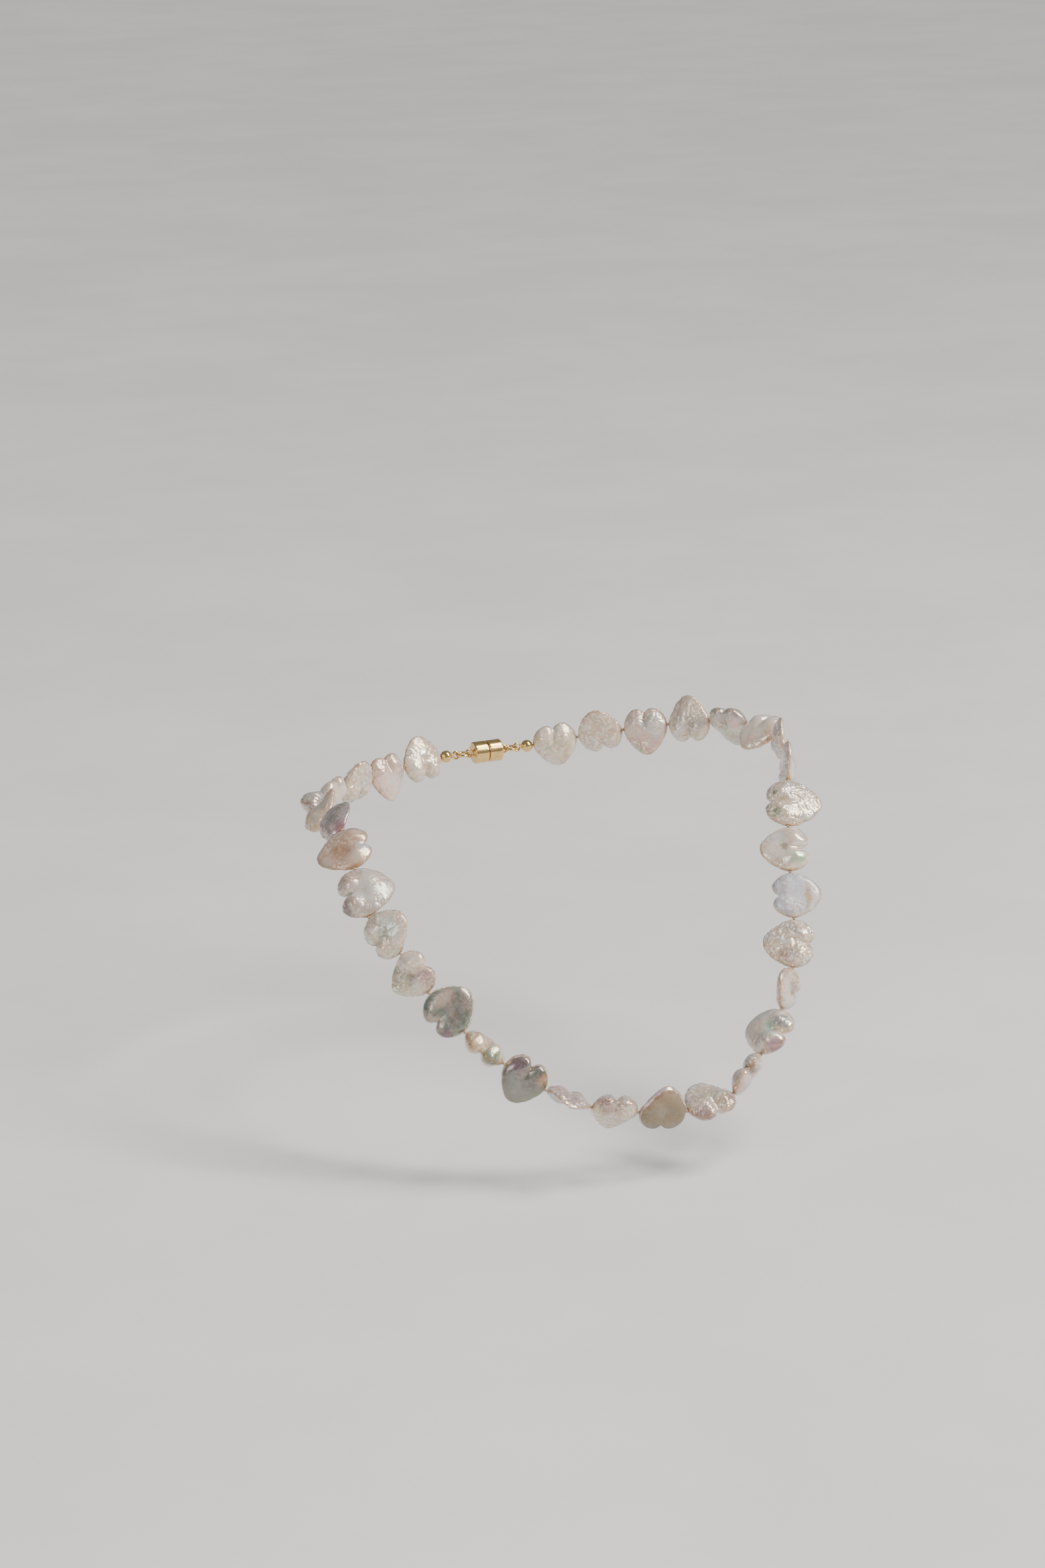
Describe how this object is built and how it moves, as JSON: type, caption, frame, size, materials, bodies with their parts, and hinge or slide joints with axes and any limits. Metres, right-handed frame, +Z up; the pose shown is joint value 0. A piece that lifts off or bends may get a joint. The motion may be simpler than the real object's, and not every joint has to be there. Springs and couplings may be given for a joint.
{
  "type": "pearl necklace",
  "caption": "Hand-knotted strand of heart-shaped freshwater pearls on silk, in its worn shape, with a magnetic clasp at the nape.",
  "frame": {"origin": "centre of the neck opening, at mid height of the worn strand", "axes": "+X to the right of someone facing the wearer, -Y out of the chest, +Z up along the neck"},
  "size_m": [0.1343, 0.1281, 0.0807],
  "materials": {
    "pearl": "gloss",
    "silk": "matte",
    "fittings": "polished",
    "magnet": "polished"
  },
  "bodies": {
    "front": {"thread_front": "silk"},
    "left_1": {"thread_left_1": "silk"},
    "left_2": {"thread_left_2": "silk"},
    "left_3": {"thread_left_3": "silk"},
    "left_4": {"thread_left_4": "silk"},
    "left_5": {"thread_left_5": "silk"},
    "left_6": {"thread_left_6": "silk"},
    "left_7": {"thread_left_7": "silk"},
    "left_8": {"thread_left_8": "silk", "bead_tip_left": "fittings"},
    "right_1": {"thread_right_1": "silk"},
    "right_2": {"thread_right_2": "silk"},
    "right_3": {"thread_right_3": "silk"},
    "right_4": {"thread_right_4": "silk"},
    "right_5": {"thread_right_5": "silk"},
    "right_6": {"thread_right_6": "silk"},
    "right_7": {"thread_right_7": "silk"},
    "right_8": {"thread_right_8": "silk", "bead_tip_right": "fittings"},
    "pearl_01": {"pearl_01": "pearl"},
    "pearl_02": {"pearl_02": "pearl"},
    "pearl_03": {"pearl_03": "pearl"},
    "pearl_04": {"pearl_04": "pearl"},
    "pearl_05": {"pearl_05": "pearl"},
    "pearl_06": {"pearl_06": "pearl"},
    "pearl_07": {"pearl_07": "pearl"},
    "pearl_08": {"pearl_08": "pearl"},
    "pearl_09": {"pearl_09": "pearl"},
    "pearl_10": {"pearl_10": "pearl"},
    "pearl_11": {"pearl_11": "pearl"},
    "pearl_12": {"pearl_12": "pearl"},
    "pearl_13": {"pearl_13": "pearl"},
    "pearl_14": {"pearl_14": "pearl"},
    "pearl_15": {"pearl_15": "pearl"},
    "pearl_16": {"pearl_16": "pearl"},
    "pearl_17": {"pearl_17": "pearl"},
    "pearl_18": {"pearl_18": "pearl"},
    "pearl_19": {"pearl_19": "pearl"},
    "pearl_20": {"pearl_20": "pearl"},
    "pearl_21": {"pearl_21": "pearl"},
    "pearl_22": {"pearl_22": "pearl"},
    "pearl_23": {"pearl_23": "pearl"},
    "pearl_24": {"pearl_24": "pearl"},
    "pearl_25": {"pearl_25": "pearl"},
    "pearl_26": {"pearl_26": "pearl"},
    "pearl_27": {"pearl_27": "pearl"},
    "pearl_28": {"pearl_28": "pearl"},
    "pearl_29": {"pearl_29": "pearl"},
    "pearl_30": {"pearl_30": "pearl"},
    "pearl_31": {"pearl_31": "pearl"},
    "pearl_32": {"pearl_32": "pearl"},
    "pearl_33": {"pearl_33": "pearl"},
    "ring_left": {"jump_ring_left": "fittings"},
    "clasp_left": {"magnet_cup_left": "fittings", "magnet_left": "magnet"},
    "ring_right": {"jump_ring_right": "fittings"},
    "clasp_right": {"magnet_cup_right": "fittings", "magnet_right": "magnet"}
  },
  "joints": [
    {"name": "left_flex_1", "type": "hinge", "parent": "front", "child": "left_1", "pos_m": [-0.01794, -0.05704, -0.03165], "axis": [0, 0, 1], "range_deg": [0, 25]},
    {"name": "left_flex_2", "type": "hinge", "parent": "left_1", "child": "left_2", "pos_m": [-0.0369, -0.04893, -0.02017], "axis": [0, 0, 1], "range_deg": [0, 25]},
    {"name": "left_flex_3", "type": "hinge", "parent": "left_2", "child": "left_3", "pos_m": [-0.05076, -0.03636, -0.00408], "axis": [0, 0, 1], "range_deg": [0, 25]},
    {"name": "left_flex_4", "type": "hinge", "parent": "left_3", "child": "left_4", "pos_m": [-0.05969, -0.02034, 0.01167], "axis": [0, 0, 1], "range_deg": [0, 25]},
    {"name": "left_flex_5", "type": "hinge", "parent": "left_4", "child": "left_5", "pos_m": [-0.05789, 0.00218, 0.02753], "axis": [0, 0, 1], "range_deg": [0, 10]},
    {"name": "left_flex_6", "type": "hinge", "parent": "left_5", "child": "left_6", "pos_m": [-0.05683, 0.02511, 0.02614], "axis": [0, 0, 1], "range_deg": [0, 25]},
    {"name": "left_flex_7", "type": "hinge", "parent": "left_6", "child": "left_7", "pos_m": [-0.04286, 0.04487, 0.0247], "axis": [0, 0, 1], "range_deg": [0, 25]},
    {"name": "left_flex_8", "type": "hinge", "parent": "left_7", "child": "left_8", "pos_m": [-0.02142, 0.05669, 0.025], "axis": [0, 0, 1], "range_deg": [0, 25]},
    {"name": "right_flex_1", "type": "hinge", "parent": "front", "child": "right_1", "pos_m": [0.01888, -0.05921, -0.03351], "axis": [0, 0, -1], "range_deg": [0, 25]},
    {"name": "right_flex_2", "type": "hinge", "parent": "right_1", "child": "right_2", "pos_m": [0.03684, -0.04926, -0.01768], "axis": [0, 0, -1], "range_deg": [0, 25]},
    {"name": "right_flex_3", "type": "hinge", "parent": "right_2", "child": "right_3", "pos_m": [0.04631, -0.03702, 0.00078], "axis": [0, 0, -1], "range_deg": [0, 25]},
    {"name": "right_flex_4", "type": "hinge", "parent": "right_3", "child": "right_4", "pos_m": [0.05171, -0.02281, 0.02022], "axis": [0, 0, -1], "range_deg": [0, 25]},
    {"name": "right_flex_5", "type": "hinge", "parent": "right_4", "child": "right_5", "pos_m": [0.06184, -0.00176, 0.03266], "axis": [0, 0, -1], "range_deg": [0, 25]},
    {"name": "right_flex_6", "type": "hinge", "parent": "right_5", "child": "right_6", "pos_m": [0.06193, 0.02205, 0.03472], "axis": [0, 0, -1], "range_deg": [0, 25]},
    {"name": "right_flex_7", "type": "hinge", "parent": "right_6", "child": "right_7", "pos_m": [0.04809, 0.04223, 0.03154], "axis": [0, 0, -1], "range_deg": [0, 25]},
    {"name": "right_flex_8", "type": "hinge", "parent": "right_7", "child": "right_8", "pos_m": [0.02771, 0.0558, 0.0273], "axis": [0, 0, -1], "range_deg": [0, 25]},
    {"name": "pearl_01_turn", "type": "hinge", "parent": "left_8", "child": "pearl_01", "pos_m": [-0.01555, 0.05823, 0.02523], "axis": [-0.9666, -0.2534, -0.0384], "continuous": true},
    {"name": "pearl_02_turn", "type": "hinge", "parent": "left_7", "child": "pearl_02", "pos_m": [-0.02699, 0.05411, 0.02481], "axis": [-0.9067, -0.4206, -0.0302], "continuous": true},
    {"name": "pearl_03_turn", "type": "hinge", "parent": "left_7", "child": "pearl_03", "pos_m": [-0.03771, 0.0482, 0.02467], "axis": [-0.84, -0.5426, 0.0062], "continuous": true},
    {"name": "pearl_04_turn", "type": "hinge", "parent": "left_6", "child": "pearl_04", "pos_m": [-0.04704, 0.04041, 0.02494], "axis": [-0.6832, -0.7292, 0.0388], "continuous": true},
    {"name": "pearl_05_turn", "type": "hinge", "parent": "left_6", "child": "pearl_05", "pos_m": [-0.05403, 0.03053, 0.02566], "axis": [-0.4585, -0.8852, 0.0787], "continuous": true},
    {"name": "pearl_06_turn", "type": "hinge", "parent": "left_5", "child": "pearl_06", "pos_m": [-0.05776, 0.01915, 0.02684], "axis": [-0.1533, -0.9815, 0.1147], "continuous": true},
    {"name": "pearl_07_turn", "type": "hinge", "parent": "left_5", "child": "pearl_07", "pos_m": [-0.05829, 0.00769, 0.02753], "axis": [0.073, -0.9973, -0.0004], "continuous": true},
    {"name": "pearl_08_turn", "type": "hinge", "parent": "left_4", "child": "pearl_08", "pos_m": [-0.05851, -0.00378, 0.02426], "axis": [-0.0907, -0.8729, -0.4794], "continuous": true},
    {"name": "pearl_09_turn", "type": "hinge", "parent": "left_4", "child": "pearl_09", "pos_m": [-0.05941, -0.01504, 0.01633], "axis": [-0.0397, -0.7504, -0.6598], "continuous": true},
    {"name": "pearl_10_turn", "type": "hinge", "parent": "left_3", "child": "pearl_10", "pos_m": [-0.05733, -0.02474, 0.00802], "axis": [0.3809, -0.7114, -0.5906], "continuous": true},
    {"name": "pearl_11_turn", "type": "hinge", "parent": "left_3", "child": "pearl_11", "pos_m": [-0.05287, -0.03275, 0.00014], "axis": [0.355, -0.6078, -0.7103], "continuous": true},
    {"name": "pearl_12_turn", "type": "hinge", "parent": "left_2", "child": "pearl_12", "pos_m": [-0.04761, -0.03985, -0.00848], "axis": [0.4896, -0.5413, -0.6836], "continuous": true},
    {"name": "pearl_13_turn", "type": "hinge", "parent": "left_2", "child": "pearl_13", "pos_m": [-0.04068, -0.04613, -0.01653], "axis": [0.6349, -0.4704, -0.6129], "continuous": true},
    {"name": "pearl_14_turn", "type": "hinge", "parent": "left_1", "child": "pearl_14", "pos_m": [-0.0325, -0.05128, -0.02348], "axis": [0.7345, -0.3931, -0.5532], "continuous": true},
    {"name": "pearl_15_turn", "type": "hinge", "parent": "left_1", "child": "pearl_15", "pos_m": [-0.02302, -0.05534, -0.02923], "axis": [0.8639, -0.2891, -0.4125], "continuous": true},
    {"name": "pearl_16_turn", "type": "hinge", "parent": "front", "child": "pearl_16", "pos_m": [-0.01218, -0.05808, -0.03293], "axis": [0.9614, -0.1732, -0.2139], "continuous": true},
    {"name": "pearl_17_turn", "type": "hinge", "parent": "front", "child": "pearl_17", "pos_m": [-0.00026, -0.05971, -0.0349], "axis": [0.9894, -0.0951, -0.1101], "continuous": true},
    {"name": "pearl_18_turn", "type": "hinge", "parent": "front", "child": "pearl_18", "pos_m": [0.01239, -0.05975, -0.03455], "axis": [0.984, 0.0829, 0.1576], "continuous": true},
    {"name": "pearl_19_turn", "type": "hinge", "parent": "right_1", "child": "pearl_19", "pos_m": [0.02362, -0.05701, -0.02997], "axis": [0.7517, 0.3474, 0.5606], "continuous": true},
    {"name": "pearl_20_turn", "type": "hinge", "parent": "right_1", "child": "pearl_20", "pos_m": [0.0326, -0.05204, -0.02206], "axis": [0.6327, 0.4152, 0.6536], "continuous": true},
    {"name": "pearl_21_turn", "type": "hinge", "parent": "right_2", "child": "pearl_21", "pos_m": [0.03967, -0.04663, -0.01364], "axis": [0.5064, 0.4705, 0.7227], "continuous": true},
    {"name": "pearl_22_turn", "type": "hinge", "parent": "right_2", "child": "pearl_22", "pos_m": [0.04441, -0.04051, -0.00441], "axis": [0.2917, 0.5336, 0.7938], "continuous": true},
    {"name": "pearl_23_turn", "type": "hinge", "parent": "right_3", "child": "pearl_23", "pos_m": [0.0475, -0.03357, 0.00573], "axis": [0.1935, 0.5615, 0.8046], "continuous": true},
    {"name": "pearl_24_turn", "type": "hinge", "parent": "right_3", "child": "pearl_24", "pos_m": [0.0502, -0.02647, 0.01545], "axis": [0.2431, 0.5894, 0.7704], "continuous": true},
    {"name": "pearl_25_turn", "type": "hinge", "parent": "right_4", "child": "pearl_25", "pos_m": [0.05422, -0.01772, 0.02458], "axis": [0.3513, 0.7117, 0.6083], "continuous": true},
    {"name": "pearl_26_turn", "type": "hinge", "parent": "right_4", "child": "pearl_26", "pos_m": [0.05929, -0.00719, 0.0308], "axis": [0.406, 0.8643, 0.2969], "continuous": true},
    {"name": "pearl_27_turn", "type": "hinge", "parent": "right_5", "child": "pearl_27", "pos_m": [0.06307, 0.0041, 0.03362], "axis": [0.2027, 0.9665, 0.1572], "continuous": true},
    {"name": "pearl_28_turn", "type": "hinge", "parent": "right_5", "child": "pearl_28", "pos_m": [0.06312, 0.01601, 0.03465], "axis": [-0.192, 0.9813, 0.0122], "continuous": true},
    {"name": "pearl_29_turn", "type": "hinge", "parent": "right_6", "child": "pearl_29", "pos_m": [0.05906, 0.02752, 0.03409], "axis": [-0.4631, 0.8805, -0.1014], "continuous": true},
    {"name": "pearl_30_turn", "type": "hinge", "parent": "right_6", "child": "pearl_30", "pos_m": [0.05214, 0.03761, 0.0325], "axis": [-0.6508, 0.7434, -0.1544], "continuous": true},
    {"name": "pearl_31_turn", "type": "hinge", "parent": "right_7", "child": "pearl_31", "pos_m": [0.04318, 0.0459, 0.03054], "axis": [-0.7904, 0.591, -0.1612], "continuous": true},
    {"name": "pearl_32_turn", "type": "hinge", "parent": "right_7", "child": "pearl_32", "pos_m": [0.03298, 0.05269, 0.02842], "axis": [-0.8476, 0.4994, -0.1795], "continuous": true},
    {"name": "pearl_33_turn", "type": "hinge", "parent": "right_8", "child": "pearl_33", "pos_m": [0.02197, 0.05775, 0.02646], "axis": [-0.9374, 0.3202, -0.1372], "continuous": true},
    {"name": "left_ring_swing", "type": "hinge", "parent": "left_8", "child": "ring_left", "pos_m": [-0.0044, 0.06, 0.0255], "axis": [0, 0, 1], "range_deg": [0, 25]},
    {"name": "left_clasp_swing", "type": "hinge", "parent": "ring_left", "child": "clasp_left", "pos_m": [-0.0026, 0.06, 0.0255], "axis": [0, 0, 1], "range_deg": [0, 25]},
    {"name": "right_ring_swing", "type": "hinge", "parent": "right_8", "child": "ring_right", "pos_m": [0.011, 0.06, 0.0255], "axis": [0, 0, -1], "range_deg": [0, 25]},
    {"name": "right_clasp_swing", "type": "hinge", "parent": "ring_right", "child": "clasp_right", "pos_m": [0.0092, 0.06, 0.0255], "axis": [0, 0, -1], "range_deg": [0, 25]}
  ],
  "couplings": [
    {"joint": "left_ring_swing", "follows": "left_flex_1", "ratio": 1},
    {"joint": "left_clasp_swing", "follows": "left_flex_1", "ratio": 1},
    {"joint": "right_ring_swing", "follows": "right_flex_1", "ratio": 1},
    {"joint": "right_clasp_swing", "follows": "right_flex_1", "ratio": 1}
  ]
}
